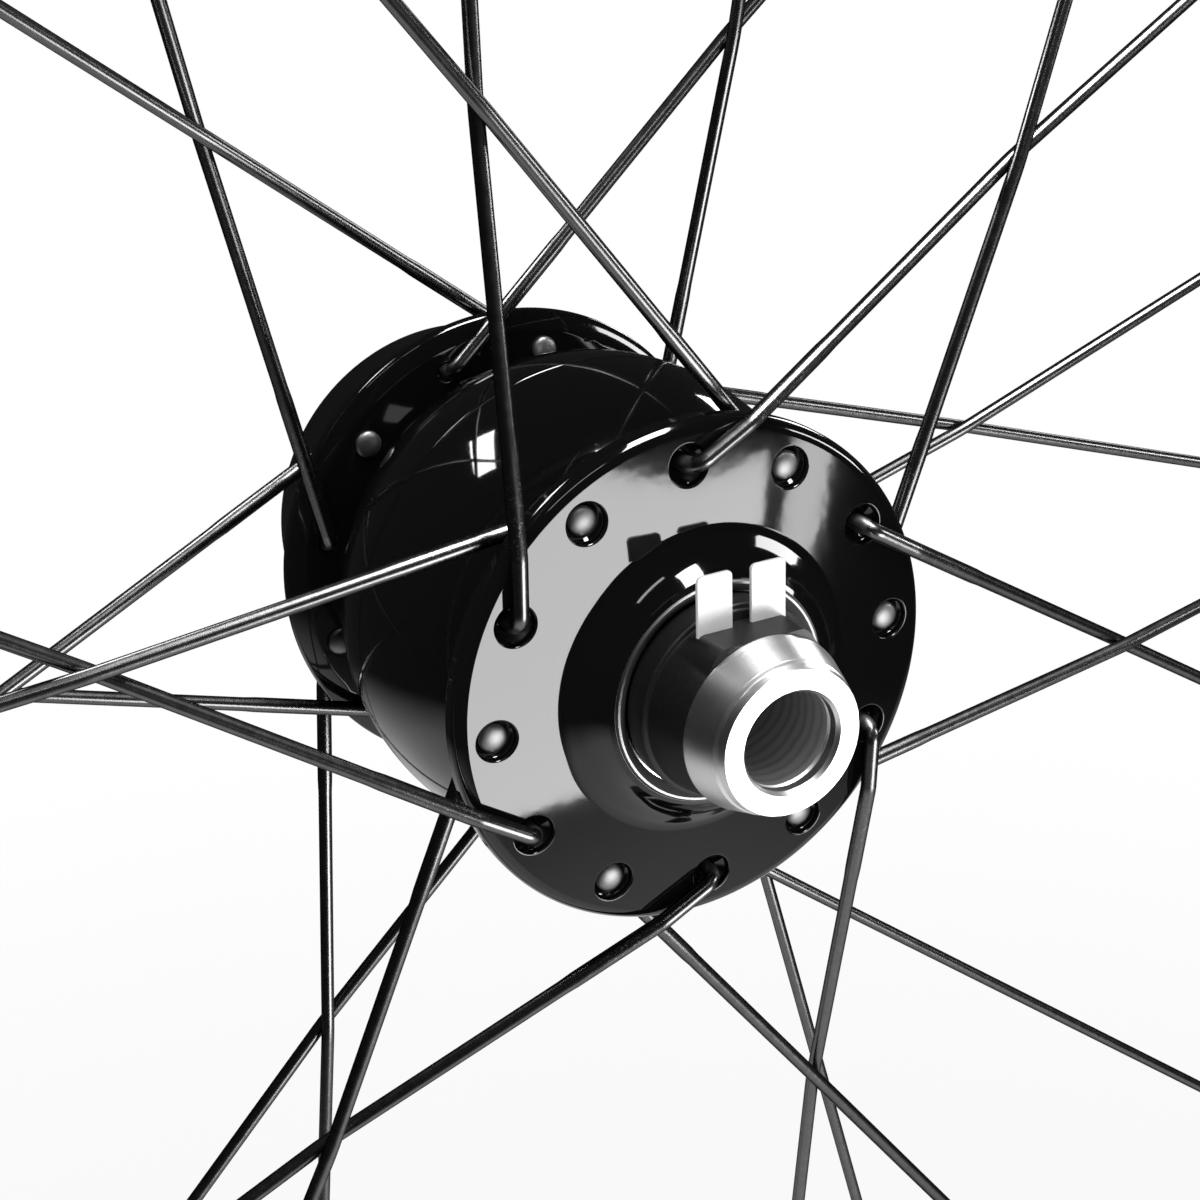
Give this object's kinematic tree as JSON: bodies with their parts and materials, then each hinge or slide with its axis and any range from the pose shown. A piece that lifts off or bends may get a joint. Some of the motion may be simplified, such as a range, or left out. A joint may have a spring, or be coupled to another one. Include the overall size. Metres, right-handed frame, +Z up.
{
  "type": "dynamo front wheel",
  "caption": "Front bicycle wheel with a generator hub: laced spokes, hollow rim, drilled flanges, plug for the lamp wires and a bore for a thru-axle.",
  "frame": {"origin": "wheel centre: on the axle, half way between the two end faces, in the rim's middle plane", "axes": "+Y along the axle towards the brake side, -Y towards the plug; +X forwards; +Z up, the way the two terminals point"},
  "size_m": [0.6339, 0.1, 0.634],
  "materials": {
    "shell_black": "gloss black coat",
    "rim_black": "satin black anodised",
    "axle_alloy": "turned",
    "cap_silver": "turned bright",
    "plug_black": "matte moulded",
    "terminal_tin": "tinned",
    "ring_silver": "bright turned",
    "bearing_steel": "ground",
    "seal_rubber": "matte",
    "claw_steel": "pressed",
    "magnet_grey": "sintered",
    "bobbin_plastic": "moulded",
    "copper": "enamelled",
    "nipple_nickel": "nickel plated",
    "spoke_steel": "drawn, dark"
  },
  "bodies": {
    "axle_assembly": {"axle": "axle_alloy", "claw_pole_left": "claw_steel", "claw_pole_right": "claw_steel", "coil_bobbin": "bobbin_plastic", "coil_leads": "copper", "connector_body": "plug_black", "copper_winding": "copper", "front_terminal": "terminal_tin", "inner_race_left": "bearing_steel", "inner_race_right": "bearing_steel", "left_end_cap": "cap_silver", "rear_terminal": "terminal_tin", "right_end_cap": "cap_silver", "stator_core": "claw_steel"},
    "wheel": {"hub_shell_right": "shell_black", "hub_shell_left": "shell_black", "magnet_ring": "magnet_grey", "magnet_yoke": "claw_steel", "outer_race_right": "bearing_steel", "outer_race_left": "bearing_steel", "bearing_seal_right": "seal_rubber", "bearing_seal_left": "seal_rubber", "retaining_ring_right": "ring_silver", "retaining_ring_left": "ring_silver", "rim": "rim_black", "spoke_nipples": "nipple_nickel", "left_spoke_01": "spoke_steel", "left_spoke_02": "spoke_steel", "left_spoke_03": "spoke_steel", "left_spoke_04": "spoke_steel", "left_spoke_05": "spoke_steel", "left_spoke_06": "spoke_steel", "left_spoke_07": "spoke_steel", "left_spoke_08": "spoke_steel", "left_spoke_09": "spoke_steel", "left_spoke_10": "spoke_steel", "left_spoke_11": "spoke_steel", "left_spoke_12": "spoke_steel", "right_spoke_01": "spoke_steel", "right_spoke_02": "spoke_steel", "right_spoke_03": "spoke_steel", "right_spoke_04": "spoke_steel", "right_spoke_05": "spoke_steel", "right_spoke_06": "spoke_steel", "right_spoke_07": "spoke_steel", "right_spoke_08": "spoke_steel", "right_spoke_09": "spoke_steel", "right_spoke_10": "spoke_steel", "right_spoke_11": "spoke_steel", "right_spoke_12": "spoke_steel"},
    "ball_set_right": {"ball_set_right": "bearing_steel"},
    "ball_set_left": {"ball_set_left": "bearing_steel"}
  },
  "joints": [
    {"name": "wheel_spin", "type": "hinge", "parent": "axle_assembly", "child": "wheel", "pos_m": [0, 0, 0], "axis": [0, 1, 0], "continuous": true},
    {"name": "right_balls_roll", "type": "hinge", "parent": "axle_assembly", "child": "ball_set_right", "pos_m": [0, -0.031, 0], "axis": [0, 1, 0], "continuous": true},
    {"name": "left_balls_roll", "type": "hinge", "parent": "axle_assembly", "child": "ball_set_left", "pos_m": [0, 0.0375, 0], "axis": [0, 1, 0], "continuous": true}
  ],
  "couplings": [
    {"joint": "right_balls_roll", "follows": "wheel_spin", "ratio": 0.555},
    {"joint": "left_balls_roll", "follows": "wheel_spin", "ratio": 0.555}
  ]
}
